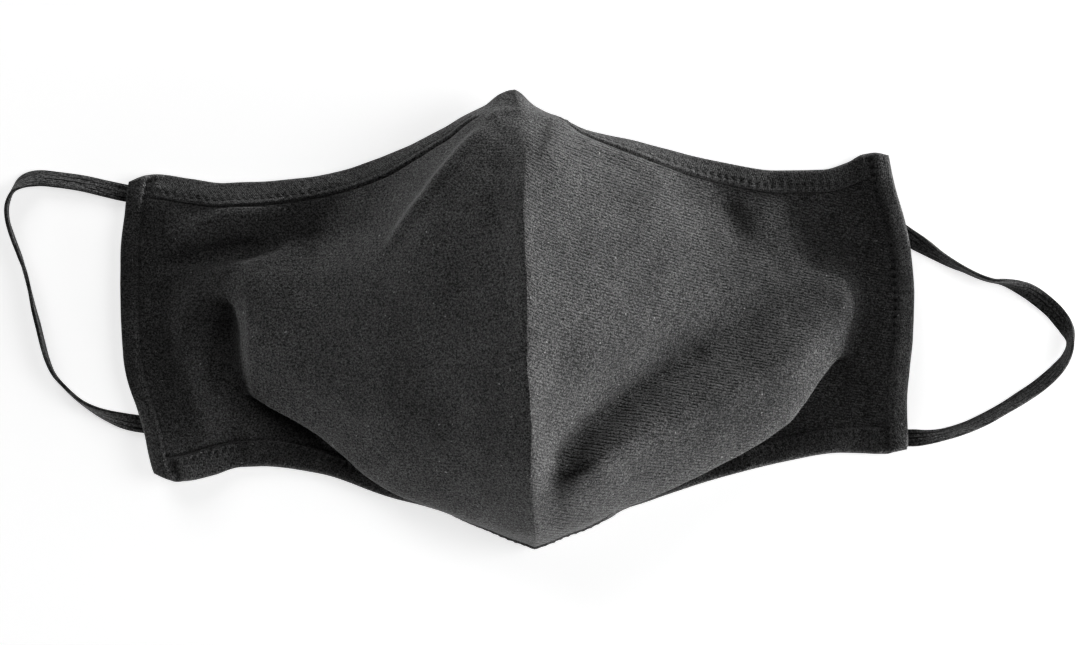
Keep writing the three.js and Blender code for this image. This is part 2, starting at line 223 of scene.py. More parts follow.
loopLeft = makeLoop("loopLeft", "ear_loop_left", leftLoopRoute, elastic)
loopRight = makeLoop("loopRight", "ear_loop_right", rightLoopRoute, elastic)
print("ear loops laid")

# the cloth, in mm. The underside follows a valley of the outer face by the share valleyBelow of its depth.
cloth = {"seam": 2.0, "side": 114.9, "casing": 6.7, "slantFrom": 70, "panelThick": 1.4, "hemThick": 2.1,
         "casingThick": 2.5, "mitre": 4.0, "seamBlend": 25, "valleyBelow": 0.3, "floorGap": 0.02}

# sections across the mask: x, then the y and the z of the outer face at eleven places from the nose edge
# over the cup to the chin edge: top edge, top stitching, hollow, shoulder, crown, belly, crest, rim, root,
# bottom stitching, bottom edge
seamSection = (2, [65.4, 57.5, 47, 29, -4, -27, -45, -59.8, -63.3, -64.8, -65.6],
               [15, 22.5, 31.2, 39.6, 44.8, 41.4, 34.5, 21, 13.5, 9, 2.2])
leftSections = [
    (-114.9, [44.8, 37.8, 22.5, 12.5, 1.5, -5.5, -11.5, -17, -25, -33.5, -39.7],
     [3.6, 3.6, 3.6, 3.6, 3.6, 3.6, 3.6, 3.6, 4.0, 6.2, 6.2]),
    (-111, [46.2, 39.4, 22.5, 12.5, 1.5, -5.5, -11.5, -17, -25, -34.8, -41.8],
     [4.3, 4.2, 4.2, 4.2, 4.2, 4.2, 4.2, 4.2, 5.0, 7.6, 7.6]),
    (-107.5, [46.7, 39.8, 22.5, 12.5, 1.5, -5.5, -11.5, -17, -25, -35, -42.1],
     [3.4, 3.4, 3, 3, 3, 3, 3, 3, 4.2, 6.8, 6.6]),
    (-96.5, [45.3, 38, 21, 11.5, 1.5, -5.5, -11.5, -17, -24, -33, -41],
     [2.6, 4.8, 4.0, 4.8, 4.8, 4.8, 4.6, 4.8, 4.8, 4.4, 3.6]),
    (-84, [43.5, 36.5, 25.5, 14.5, 0, -6, -10, -16, -20, -31.5, -39],
     [2.4, 5.4, 4.4, 6.2, 1.7, 1.5, 1.5, 1.6, 1.9, 2.2, 2.2]),
    (-79.5, [43.5, 36.5, 26, 14.5, -0.5, -7, -12, -17.5, -18.5, -31.5, -39],
     [2.3, 5.2, 4.4, 7.6, 6.4, 5.8, 4.8, 3.4, 1.9, 2, 2.1]),
    (-77, [43.5, 36.5, 26, 14.5, -1, -7, -12, -19.3, -18.3, -31.5, -39],
     [2.3, 5.0, 4.6, 8.8, 9.4, 9.2, 8, 5.4, 2, 1.8, 2.1]),
    (-59, [44.3, 37.8, 26.5, 14.5, -2, -12, -19.5, -30, -28.5, -34.8, -41.8],
     [2.4, 4.4, 4.8, 12.0, 16.8, 16.4, 14, 7.5, 3, 2, 2.1]),
    (-39, [48.5, 42.3, 31, 19, -2, -18, -30, -46.8, -45.4, -44, -49.6],
     [4.8, 8.4, 13.2, 20.2, 25.0, 24.6, 21.2, 10.5, 6, 3.6, 2]),
    (-19, [56.4, 52.3, 46, 39, 0, -22, -38, -53.6, -55.6, -55.6, -55.2],
     [10, 14.4, 21, 27, 33.4, 31.6, 26.5, 14.5, 10, 8, 2]),
    (-7.5, [62.0, 58.8, 55, 50, 0, -25, -41, -57, -60, -61, -61.3],
     [13, 19.5, 22.8, 26.8, 39.6, 37, 31, 17.5, 11.5, 8, 2]),
    seamSection]
rightSections = [
    seamSection,
    (10, [59.2, 57.8, 55, 49.5, -1, -36.5, -45.5, -59, -61.5, -62.2, -62.8],
     [12, 17.5, 20.8, 26.2, 38.6, 29.2, 28.4, 17, 11.5, 8.5, 2]),
    (19.5, [54.9, 53.2, 49, 42, -5, -29.5, -41, -56.6, -58.2, -58.9, -59.3],
     [9, 14, 18.2, 23, 32.8, 24.2, 29.4, 15, 10, 7.8, 2]),
    (39, [50, 45.2, 38, 29.5, -1, -17, -32, -50.6, -49.2, -47.3, -52.5],
     [5, 9, 12.8, 16.2, 20.6, 17.0, 23.0, 10.5, 5, 3.4, 2]),
    (59, [44.4, 38.2, 29, 20, 5.5, -7.5, -24.5, -42, -40.7, -41.2, -46.9],
     [3, 4.4, 5.4, 8.0, 11.0, 11.0, 17.2, 8.8, 3.2, 2, 2.1]),
    (77, [41, 34.5, 26, 17.5, 8.5, -0.5, -17, -32, -31, -36.2, -43.3],
     [2.1, 2.6, 3.0, 4.0, 6.0, 7.6, 12.2, 7.2, 2.4, 1.9, 2.1]),
    (93.5, [40.7, 34.2, 23, 14, 6.5, 0.5, -6, -14, -14, -34.5, -41.5],
     [2.1, 2.1, 1.8, 2.3, 4.8, 5.4, 5.0, 3.8, 2, 1.8, 2.1]),
    (102, [42.4, 35.7, 20.5, 10.5, 4.5, 0.5, -4.5, -10, -16.5, -34.5, -41.9],
     [2.2, 2.1, 1.8, 1.8, 2, 2.1, 2, 1.8, 1.7, 2, 2.2]),
    (107.5, [44.6, 37.4, 21.5, 10.5, 4.5, 0.5, -4.5, -10, -17, -34.7, -42.2],
     [3.3, 3.1, 3, 3, 3, 3, 3, 3, 3, 3.1, 3.2]),
    (111, [44.9, 37.3, 21.5, 10.5, 4.5, 0.5, -4.5, -10, -17, -34.3, -41.9],
     [4.3, 4.2, 4.2, 4.2, 4.2, 4.2, 4.2, 4.2, 4.2, 4.2, 4.2]),
    (114.9, [44, 36.3, 21.5, 10.5, 4.5, 0.5, -4.5, -10, -17, -33.6, -41.2],
     [4, 4, 4, 4, 4, 4, 4, 4, 4, 4, 4])]
# how far each side edge stands in: y, inset
leftInset = [(-45, 11.3), (-38, 7.7), (-29, 5.9), (-21, 3.6), (-11, 0.9), (-5, 0.2), (5, 0), (23, 0.5),
             (39, 2.7), (46, 4)]
rightInset = [(-45, 5), (-38, 3.4), (-29, 3.4), (-17, 2), (-9, 0.9), (5, 0), (16, 0.5), (23, 1.5),
              (35, 4.4), (45, 6)]

# how far the seam strays sideways from its plane: y, x
seamLine = [(-66, 0.3), (-58, 0.6), (-46, 0.2), (-30, 0.9), (-12, 0.5), (10, 1.1), (34, 1.1), (42, 1.9),
            (50, 2.3), (56, 2.2), (60, 1.2), (63.5, -0.2), (66, -0.7)]

foldEnds = {"fade": 0.3, "left": 0.35}  # share of the line that fades, and of the height left at its ends
# folds and creases: half, height in mm (a valley is below zero), half width in mm, then the line in plan
folds = [
    ("left", 1.7, 1.6, [(-4, 57.5), (-12, 50), (-20, 41), (-30, 29), (-37, 21)]),  # crest down from the nose
    ("left", 0.5, 0.9, [(-7, 56.8), (-3, 58.8), (3, 59.4)]),  # arc under the nose tip
    ("left", -1.6, 4.5, [(-84, 6), (-87, -3), (-90, -12), (-91, -20)]),  # hollow beside the cup
    ("left", -1.2, 4.0, [(-82, -22), (-72, -30), (-62, -36)]),  # hollow under the cup's corner
    ("left", -3.8, 2.5, [(-101, 20), (-92, 22), (-84, 23.6), (-70, 24.6)]),  # valley across the flap
    ("left", 1.4, 3.0, [(-99, 28), (-90, 31.5), (-80, 34), (-70, 35)]),  # ridge above it
    ("right", 0.7, 2.0, [(8, 58.5), (15, 54), (22, 49), (36, 44), (42, 38)]),  # crest down from the nose
    # foot of the big fold
    ("right", -1.3, 2.6, [(8, -43), (13, -36.5), (20, -30), (30, -22.5), (39, -17), (50, -11)]),
    ("right", -0.35, 1.8, [(27, -40), (32, -46)]),  # dimple on the lower crest
    ("right", -0.4, 1.2, [(20, -54), (27, -56), (35, -54.5)]),  # crease above the chin band
    ("right", -1.0, 4.0, [(60, 35), (63, 28), (65, 19)]),  # dent beside the cheek
    ("right", 0.6, 5.0, [(70, 34), (76, 24), (80, 15)])]  # swell beyond it


# Height of all folds of one half at points in plan: for each, the height times a bell of the distance to
# the nearest place on its line, fading towards the line's ends.
def foldHeights(half, x, y):
    height = np.zeros_like(x)
    for side, rise, spread, line in folds:
        if side != half:
            continue
        line = np.array(line, float)
        lengths = np.linalg.norm(np.diff(line, axis=0), axis=1)
        starts = np.concatenate([[0], np.cumsum(lengths)])
        best, place = np.full(x.shape, 1e9), np.zeros(x.shape)
        for k in range(len(lengths)):
            step = (line[k + 1] - line[k]) / lengths[k]
            run = np.clip((x - line[k, 0]) * step[0] + (y - line[k, 1]) * step[1], 0, lengths[k])
            away = np.hypot(x - line[k, 0] - run * step[0], y - line[k, 1] - run * step[1])
            near = away < best
            best, place = np.where(near, away, best), np.where(near, starts[k] + run, place)
        ends = smoothStep(np.minimum(place, starts[-1] - place), -0.1, foldEnds["fade"] * starts[-1])
        share = foldEnds["left"] + (1 - foldEnds["left"]) * ends
        height += rise * share * np.exp(-(best / spread) ** 2)
    return height


# grid spacing in mm along x, steps between the places, and the sizes of the finest unevenness
detail = {"spacing": 0.5, "placeSteps": [24, 18, 20, 34, 22, 18, 22, 12, 14, 20], "casingSteps": 22,
          "ripple": 0.06, "seamWander": 0.09, "wanderReach": 1.5, "creaseSlope": 0.2, "creaseReach": 2}
# the nose tip: its height, reach and roundness, its x and that of the bare stretch of edge, where the band
# fades in from one distance to the other
nose = {"tip": 1.9, "reach": 5.5, "round": 1.8, "tipX": 1.3, "bareX": 2.5, "bandFrom": 9, "bandFull": 17}
# the cloth's lines on the right: degrees of slope at y = 0 and more for each mm of y, and an offset in mm
# that builds up from the seam over a distance; on the left a plain slope
lineLay = {"slope": 15, "slopeGain": 0.13, "offset": 2.2, "offsetReach": 6, "leftSlope": -0.05}
hem = {"step": 0.5, "stepWidth": 0.2, "groove": 0.8, "grooveAt": 0.15, "grooveWidth": 0.3, "stitch": 2.3,
       "inward": 1.8, "dimple": 0.32, "dimpleFloor": 0.3, "dimpleWidth": 0.5, "pucker": 0.06,
       "puckerWidth": 2.2, "reach": 6}
casingSeam = dict(hem, step=0.1, groove=0.3, grooveWidth=0.6, inward=0.9, dimple=1.0, dimpleWidth=0.6,
                  pucker=0.1)
# ripples: direction in radians, length in mm, phase
rippleWaves = [(0.3, 23, 0.4), (1.2, 17, 2.1), (2.0, 13, 4.0), (2.7, 11, 1.3), (0.8, 9, 5.2), (1.7, 8, 3.3)]
rippleMean = 14  # a ripple of this length has the stated size, and a longer one more


# Soft unevenness of worn cloth: a sum of plane waves in plan, each as high as size x length / mean length.
def ripples(x, y, size):
    total = np.zeros_like(x)
    for turn, length, phase in rippleWaves:
        along = x * math.cos(turn) + y * math.sin(turn)
        total += np.sin(2 * np.pi * along / length + phase) * size * length / rippleMean
    return total


# Drop of a rounded edge at a distance from it: a quarter circle of the given radius, level past the radius.
def roundedEdge(distance, radius):
    inside = np.clip(radius - distance, 0, radius)
    return radius - np.sqrt(np.maximum(radius ** 2 - inside ** 2, 0))


# Relief of a folded, stitched edge. inside is the distance from its border, positive within the band, and
# run the distance along it. The band stands a step above the cloth, a narrow groove follows the border,
# and a stitch row a little inside has a dimple at each needle hole, with small puckers across the row.
def stitchedEdge(inside, run, plan):
    step = plan["step"] * (0.5 + 0.5 * np.tanh(inside / plan["stepWidth"]))
    groove = plan["groove"] * np.exp(-((inside + plan["grooveAt"]) / plan["grooveWidth"]) ** 2)
    turn = 2 * np.pi * run / plan["stitch"]
    away = inside - plan["inward"]
    hole = plan["dimpleFloor"] + (1 - plan["dimpleFloor"]) * (0.5 + 0.5 * np.cos(turn)) ** 2
    holes = plan["dimple"] * hole * np.exp(-(away / plan["dimpleWidth"]) ** 2)
    uneven = np.cos(turn + 0.8 * np.sin(run / 5.0))
    puckers = plan["pucker"] * uneven * np.exp(-(away / plan["puckerWidth"]) ** 2)
    return step - groove - holes - puckers


# One half of the mask as a grid, from the seam to the side edge and from the nose edge to the chin edge.
# Its outer face is the curve through each section's places, moved sideways by the side edge's inset and
# by the straying of the seam. It sinks a little at the seam: slope x (reach - distance)^2 / reach. Folds,
# ripples, stitched bands and rounded open edges are added along the normal, and the seam wanders by a sum
# of three sines. The nose tip is drawn out by tip x exp(-(x / reach)^4) and blunted by half of sqrt(x^2 +
# round^2) - x. The cloth coordinates are the distance run from the seam, and y sheared by the slope of
# the cloth's lines.
def makeHalf(side, sections, inset):
    sign = 1 if side == "right" else -1
    reach = cloth["side"] - cloth["casing"] - sign * cloth["seam"]
    fromSeam = np.concatenate([[0.004, 0.12, 0.3, 0.5, 0.8, 1.2, 1.7],
                               np.arange(2.3, reach - 0.9, detail["spacing"]),
                               reach - np.array([0.75, 0.45, 0.2])])
    acrossCasing = cloth["casing"] * (0.5 - 0.5 * np.cos(np.linspace(0, np.pi, detail["casingSteps"])))
    x = cloth["seam"] + sign * np.concatenate([fromSeam, reach + acrossCasing])
    casingEdge = len(fromSeam)
    places = []
    for k, count in enumerate(detail["placeSteps"]):
        s = np.arange(count) / count
        eased = {0: 0.5 - 0.5 * np.cos(np.pi * s), 9: 0.5 - 0.5 * np.cos(np.pi * s), 1: s ** 1.5,
                 8: 1 - (1 - s) ** 1.5}.get(k, s)
        places.append(k + eased)
    t = np.concatenate(places + [[10.0]])
    topEdge, bottomEdge = detail["placeSteps"][0], len(t) - 1 - detail["placeSteps"][9]
    rows = sorted(sections, key=lambda row: row[0])
    tableX = [row[0] for row in rows]
    knotY = smoothThrough(tableX, [row[1] for row in rows], x)
    knotZ = smoothThrough(tableX, [row[2] for row in rows], x)
    knots = np.stack([np.repeat(x[:, None], knotY.shape[1], 1), knotY, knotZ], -1)
    base = curveThrough(knots, t)
    slant = smoothStep(np.abs(x), cloth["slantFrom"], cloth["side"] - cloth["casing"])[:, None]
    insetY, insetX = np.array(inset, float).T
    standIn = smoothThrough(insetY, insetX, base[..., 1].ravel()).reshape(base.shape[:2])
    base[..., 0] -= sign * slant * standIn
    fromPlane = np.abs(base[..., 0] - cloth["seam"])
    strayY, strayX = np.array(seamLine, float).T
    stray = smoothThrough(strayY, strayX, base[..., 1].ravel()).reshape(base.shape[:2])
    base[..., 0] += stray * (1 - smoothStep(fromPlane, 0, cloth["seamBlend"]))
    crease = np.clip(detail["creaseReach"] - fromPlane, 0, None) ** 2 / detail["creaseReach"]
    base[..., 2] -= detail["creaseSlope"] * crease
    stepOut, stepDown = np.diff(base, axis=0), np.diff(base, axis=1)
    out = np.vstack([np.zeros((1, len(t))), np.cumsum(np.linalg.norm(stepOut, axis=2), axis=0)])
    down = np.hstack([np.zeros((len(x), 1)), np.cumsum(np.linalg.norm(stepDown, axis=2), axis=1)])
    normal = sign * np.cross(np.gradient(base, axis=1), np.gradient(base, axis=0))
    normal /= np.linalg.norm(normal, axis=2, keepdims=True)
    normal[..., 0] *= smoothStep(out, 0, cloth["mitre"])
    normal /= np.linalg.norm(normal, axis=2, keepdims=True)
    up, fromSide = down[:, -1:] - down, out[-1:] - out
    inPlan = base[..., 0], base[..., 1]
    rise = foldHeights(side, *inPlan) + ripples(*inPlan, detail["ripple"])
    intoTop = down[:, topEdge:topEdge + 1] - down
    intoBottom = up[:, bottomEdge:bottomEdge + 1] - up
    intoCasing = out - out[casingEdge:casingEdge + 1]
    clearOfCasing = 1 - smoothStep(intoCasing, -1.0, 0.0)
    fromNose = smoothStep(np.abs(base[..., 0] - nose["bareX"]), nose["bandFrom"], nose["bandFull"])
    rise += stitchedEdge(intoTop, out, hem) * clearOfCasing * fromNose * (intoTop > -hem["reach"])
    rise += stitchedEdge(intoBottom, out, hem) * clearOfCasing * (intoBottom > -hem["reach"])
    rise += stitchedEdge(intoCasing, down, casingSeam) * (intoCasing > -hem["reach"])
    wander = np.sin(base[..., 1] / 1.7) + 0.7 * np.sin(base[..., 1] / 0.66 + 1)
    wander += 1.2 * np.sin(base[..., 1] / 5.1)
    base[..., 0] += detail["seamWander"] * wander * np.exp(-out / detail["wanderReach"])
    edges = [roundedEdge(down, cloth["hemThick"] / 2), roundedEdge(up, cloth["hemThick"] / 2),
             roundedEdge(fromSide, cloth["casingThick"] / 2)]
    drop = np.maximum(np.maximum(edges[0], edges[1]), edges[2])
    fromTip = np.abs(base[..., 0] - nose["tipX"])
    blunt = 0.5 * (np.hypot(fromTip, nose["round"]) - fromTip)
    tip = nose["tip"] * np.exp(-(base[..., 0] / nose["reach"]) ** 4) - blunt
    base[..., 1] += tip * smoothStep(base[..., 1], 55, 64)
    outer = base + normal * (rise - drop)[..., None]
    away = np.abs(base[..., 0] - cloth["seam"])
    if sign > 0:
        slope = np.tan(np.radians(lineLay["slope"] + lineLay["slopeGain"] * base[..., 1]))
        lineAt = away * slope + lineLay["offset"] * (1 - np.exp(-away / lineLay["offsetReach"]))
    else:
        lineAt = away * lineLay["leftSlope"]
    uv = np.stack([sign * out, base[..., 1] + lineAt], -1)
    return {"side": side, "sign": sign, "base": base, "normal": normal, "outer": outer, "drop": drop,
            "uv": uv, "rise": rise, "out": out, "down": down, "top": topEdge, "bottom": bottomEdge,
            "casing": casingEdge}


# The part of a half between grid lines, as a closed piece: its outer face, and an inner face one
# thickness below, pressed flat where it would sink into the surface.
def cutPiece(name, half, i, j, thick, node):
    depth = thick - half["drop"] - np.minimum(half["rise"], 0) * cloth["valleyBelow"]
    inner = half["base"] - half["normal"] * depth[..., None]
    inner[..., 2] = np.maximum(inner[..., 2], 0)
    outer = half["outer"].copy()
    outer[..., 2] = np.maximum(outer[..., 2], cloth["floorGap"])
    order = slice(None, None, -1) if half["sign"] > 0 else slice(None)
    grid = [a[i, j][:, order] for a in (outer, inner, half["uv"])]
    piece = closedGrid(name, *grid)
    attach(piece, "root")
    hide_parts(node)
    return piece


# a stitch's thread in mm: sink is how far its ends go down into the needle holes
thread = {"length": 1.75, "radius": 0.17, "raise": 0.02, "sink": 0.25, "rings": 4, "sides": 6}


# Stitches as grains of thread along lines on the cloth, one in each stitch length: a sphere drawn out
# along the line, half its length each way, and lowered by sink x s^3, s running from 0 in its middle to 1
# at its ends.
def makeStitches(name, lines):
    rings, sides = thread["rings"], thread["sides"]
    polar = np.linspace(0, np.pi, rings + 2)[1:-1, None]
    turn = np.linspace(0, 2 * np.pi, sides, endpoint=False)[None]
    ball = np.stack([np.broadcast_to(np.cos(polar), (rings, sides)), np.sin(polar) * np.cos(turn),
                     np.sin(polar) * np.sin(turn)], -1).reshape(-1, 3)
    ball = np.vstack([ball, [[1, 0, 0]], [[-1, 0, 0]]])
    index = np.arange(rings * sides).reshape(rings, sides)
    after = np.roll(index, -1, axis=1)
    quads = np.stack([index[:-1], after[:-1], after[1:], index[1:]], -1).reshape(-1, 4)
    tip, tail = rings * sides, rings * sides + 1
    caps = np.concatenate([np.stack([np.full(sides, tip), after[0], index[0]], -1),
                           np.stack([np.full(sides, tail), index[-1], after[-1]], -1)])
    points, faces = [], []
    for line, normals, run, first in lines:
        at = np.arange(math.ceil(first / hem["stitch"]) + 0.5, run[-1] / hem["stitch"] - 0.5) * hem["stitch"]
        place = lambda values, where: np.stack([np.interp(where, run, values[:, n]) for n in range(3)], 1)
        centre = place(line, at)
        along = place(line, at + 0.6) - place(line, at - 0.6)
        along /= np.linalg.norm(along, axis=1, keepdims=True)
        lift = place(normals, at)
        across = np.cross(lift, along)
        across /= np.linalg.norm(across, axis=1, keepdims=True)
        lift = np.cross(along, across)
        centre = centre + lift * thread["raise"]
        size = thread["length"] / 2
        cloud = (centre[:, None] + ball[None, :, :1] * size * along[:, None]
                 + ball[None, :, 1:2] * thread["radius"] * lift[:, None]
                 + ball[None, :, 2:] * thread["radius"] * across[:, None]
                 - np.abs(ball[None, :, :1]) ** 3 * thread["sink"] * lift[:, None])
        start = sum(len(p) for p in points)
        offsets = start + np.arange(len(at))[:, None, None] * len(ball)
        points.append(cloud.reshape(-1, 3))
        faces += (quads[None] + offsets).reshape(-1, 4).tolist()
        faces += (caps[None] + offsets).reshape(-1, 3).tolist()
    mesh = bpy.data.meshes.new(name)
    mesh.from_pydata(np.vstack(points) * mm, [], faces)
    mesh.polygons.foreach_set("use_smooth", np.ones(len(mesh.polygons), bool))
    piece = bpy.data.objects.new(name, mesh)
    bpy.context.collection.objects.link(piece)
    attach(piece, "root")
    return piece


# Values of a grid where each of its rows has run a given distance: the first value plus the whole steps up
# to there and the share of the step that it falls in.
def pointAt(values, distance, target):
    share = np.clip((target[:, None] - distance[:, :-1]) / np.diff(distance, axis=1), 0, 1)
    return values[:, 0] + (share[..., None] * np.diff(values, axis=1)).sum(1)


# mm to the first stitch of a row, from the seam, or from the nose edge on the casing
stitchStart = {"top": 12, "bottom": 3, "side": 1}


# The pieces of one half: its grid is cut along the band's borders and the casing's fold, and stitch rows
# run "inward" from each border.
def makeSide(side, sections, inset):
    half = makeHalf(side, sections, inset)
    cap = side.capitalize()
    seamToCasing = slice(0, half["casing"] + 1)
    top, bottom = half["top"], half["bottom"]
    panel = cutPiece("panel" + cap, half, seamToCasing, slice(top, bottom + 1), cloth["panelThick"],
                     "panel_" + side)
    topHem = cutPiece("topHem" + cap, half, seamToCasing, slice(0, top + 1), cloth["hemThick"],
                      "top_hem_" + side)
    bottomHem = cutPiece("bottomHem" + cap, half, seamToCasing, slice(bottom, None), cloth["hemThick"],
                         "bottom_hem_" + side)
    casing = cutPiece("casing" + cap, half, slice(half["casing"], None), slice(None), cloth["casingThick"],
                      "side_casing_" + side)
    grids = [half["outer"], half["normal"], half["out"][..., None]]
    down = half["down"]
    topRow = [pointAt(a, down, down[:, top] - hem["inward"])[seamToCasing] for a in grids]
    bottomRow = [pointAt(a, down, down[:, bottom] + hem["inward"])[seamToCasing] for a in grids]
    across = half["out"].T
    grids = [np.swapaxes(half["outer"], 0, 1), np.swapaxes(half["normal"], 0, 1), down.T[..., None]]
    sideRow = [pointAt(a, across, across[:, half["casing"]] + casingSeam["inward"]) for a in grids]
    rows = (topRow, stitchStart["top"]), (bottomRow, stitchStart["bottom"]), (sideRow, stitchStart["side"])
    lines = [(row[0], row[1], row[2][:, 0], first) for row, first in rows]
    stitches = makeStitches("stitches" + cap, lines)
    return {"panel": panel, "topHem": topHem, "bottomHem": bottomHem, "casing": casing, "stitches": stitches}


leftSide = makeSide("left", leftSections, leftInset)
rightSide = makeSide("right", rightSections, rightInset)
print("panels, hems, casings and stitches made")


# materials
# A new material with its node tree and its main shader.
def nodeTree(name):
    material = bpy.data.materials.new(name)
    material.use_nodes = True
    tree = material.node_tree
    return material, tree, tree.nodes["Principled BSDF"]


# A node with its settings and inputs: an output socket is linked, a plain value is set. Returns the first
# output in use.
def addNode(tree, kind, inputs=None, **settings):
    node = tree.nodes.new(kind)
    for key, value in settings.items():
        setattr(node, key, value)
    for key, value in (inputs or {}).items():
        if hasattr(value, "is_output"):
            tree.links.new(value, node.inputs[key])
        else:
            node.inputs[key].default_value = value
    return next(socket for socket in node.outputs if socket.enabled)


# One sum, product or other operation on two values.
def addMath(tree, operation, first, second):
    return addNode(tree, "ShaderNodeMath", {0: first, 1: second}, operation=operation)


# The value carried in a straight line from low..high to toLow..toHigh, held at the ends.
def addRange(tree, value, low, high, toLow, toHigh):
    return addNode(tree, "ShaderNodeMapRange", {"Value": value, "From Min": low, "From Max": high,
                                                "To Min": toLow, "To Max": toHigh})


# A grey: the colour on all three channels times the tone.
def addGrey(tree, colour, tone):
    return addNode(tree, "ShaderNodeVectorMath", {0: (colour,) * 3, "Scale": tone}, operation="SCALE")


# Patterns are in mm: lines with this pitch, drawn "lineDark" deep in colour, broken into dashes about
# "dash" long. Lines fade out around the point plainNear, within the two distances, and lint has gathered
# around lintAt.
cotton = {"colour": 0.036, "sheen": 0.09, "sheenRough": 0.45, "pitch": 0.95, "lineDark": 0.92, "dash": 2.2,
          "speckle": 0.52, "fibre": 0.24, "relief": 0.3, "plainNear": (2.5, 64, 18), "plainWithin": (9, 17),
          "lintAt": (-104.5, 42, 3)}


# Black cotton: colour = base x fuzz x fibres x slow patches of dye x (1 - depth of the line), plus lint.
# A line is drawn where sin(2 pi v / pitch) is high, v being the cloth coordinate with a small wobble, and
# where a noise stretched along the line is high, so that it breaks into dashes; near the nose tip it
# fades out. The relief is fuzz + 0.4 fibres - line. turned swings the lines, in degrees.
def clothMaterial(name, plan, turned=0):
    material, tree, shader = nodeTree(name)
    flat = addNode(tree, "ShaderNodeUVMap", uv_map="clothMm")
    solid = tree.nodes.new("ShaderNodeTexCoord").outputs["Object"]
    inMm = addNode(tree, "ShaderNodeMapping", {"Vector": solid, "Scale": (1000, 1000, 1000)})
    lay = addNode(tree, "ShaderNodeMapping", {"Vector": flat, "Rotation": (0, 0, math.radians(turned))})
    wobble = addNode(tree, "ShaderNodeTexNoise", {"Vector": lay, "Scale": 0.35, "Detail": 1.0})
    parts = tree.nodes.new("ShaderNodeSeparateXYZ")
    tree.links.new(lay, parts.inputs[0])
    shifted = addMath(tree, "ADD", parts.outputs["Y"], addMath(tree, "MULTIPLY", wobble, 0.5))
    wave = addMath(tree, "SINE", addMath(tree, "MULTIPLY", shifted, 2 * math.pi / plan["pitch"]), 0.0)
    furrow = addRange(tree, wave, -0.1, 0.75, 0.0, 1.0)
    cell = (1 / plan["dash"], 1 / plan["pitch"], 1)
    stretched = addNode(tree, "ShaderNodeMapping", {"Vector": lay, "Scale": cell})
    broken = addNode(tree, "ShaderNodeTexNoise", {"Vector": stretched, "Scale": 1.0, "Detail": 2.0,
                                                  "Roughness": 0.7})
    breaks = addRange(tree, broken, 0.42, 0.56, 0.0, 1.0)
    fromNose = addNode(tree, "ShaderNodeVectorMath", {0: inMm, 1: plan["plainNear"]}, operation="DISTANCE")
    lines = addMath(tree, "MULTIPLY", addMath(tree, "MULTIPLY", furrow, breaks),
                    addRange(tree, fromNose, *plan["plainWithin"], 0.0, 1.0))
    fuzz = addNode(tree, "ShaderNodeTexNoise", {"Vector": inMm, "Scale": 1 / plan["speckle"], "Detail": 2.0,
                                                "Roughness": 0.6})
    fibres = addNode(tree, "ShaderNodeTexNoise", {"Vector": inMm, "Scale": 1 / plan["fibre"], "Detail": 1.0})
    patches = addNode(tree, "ShaderNodeTexNoise", {"Vector": inMm, "Scale": 0.08, "Detail": 3.0})
    lint = addNode(tree, "ShaderNodeTexNoise", {"Vector": inMm, "Scale": 1.1, "Detail": 0.0})
    tone = addMath(tree, "MULTIPLY", addRange(tree, fuzz, 0.36, 0.64, 0.1, 1.9),
                   addRange(tree, fibres, 0.3, 0.7, 0.4, 1.6))
    tone = addMath(tree, "MULTIPLY", tone, addRange(tree, patches, 0.3, 0.7, 0.82, 1.18))
    tone = addMath(tree, "MULTIPLY", tone, addRange(tree, lines, 0.0, 1.0, 1.0, 1 - plan["lineDark"]))
    tone = addMath(tree, "ADD", tone, addRange(tree, lint, 0.84, 0.88, 0.0, 4.0))
    knot = addNode(tree, "ShaderNodeVectorMath", {0: inMm, 1: plan["lintAt"]}, operation="DISTANCE")
    dusting = addMath(tree, "MULTIPLY", addRange(tree, fibres, 0.45, 0.65, 0.0, 1.0),
                      addRange(tree, knot, 1.5, 6.5, 3.0, 0.0))
    tone = addMath(tree, "ADD", tone, dusting)
    tree.links.new(addGrey(tree, plan["colour"], tone), shader.inputs["Base Color"])
    height = addMath(tree, "SUBTRACT", addMath(tree, "ADD", fuzz, addMath(tree, "MULTIPLY", fibres, 0.4)),
                     addMath(tree, "MULTIPLY", lines, plan["lineDark"]))
    relief = addNode(tree, "ShaderNodeBump", {"Height": height, "Distance": plan["relief"] * mm,
                                              "Strength": 1.0})
    tree.links.new(relief, shader.inputs["Normal"])
    shader.inputs["Roughness"].default_value = 0.95
    shader.inputs["Specular IOR Level"].default_value = 0.15
    shader.inputs["Sheen Weight"].default_value = plan["sheen"]
    shader.inputs["Sheen Roughness"].default_value = plan["sheenRough"]
    shader.inputs["Sheen Tint"].default_value = (1, 1, 1, 1)
    return material


# Sewing thread: a base colour times a fine noise.
def plainThread(name, colour):
    material, tree, shader = nodeTree(name)
    solid = tree.nodes.new("ShaderNodeTexCoord").outputs["Object"]
    twist = addNode(tree, "ShaderNodeTexNoise", {"Vector": solid, "Scale": 2500.0, "Detail": 1.0})
    shades = addRange(tree, twist, 0.3, 0.7, 0.5, 1.5)
    tree.links.new(addGrey(tree, colour, shades), shader.inputs["Base Color"])
    shader.inputs["Roughness"].default_value = 0.8
    return material


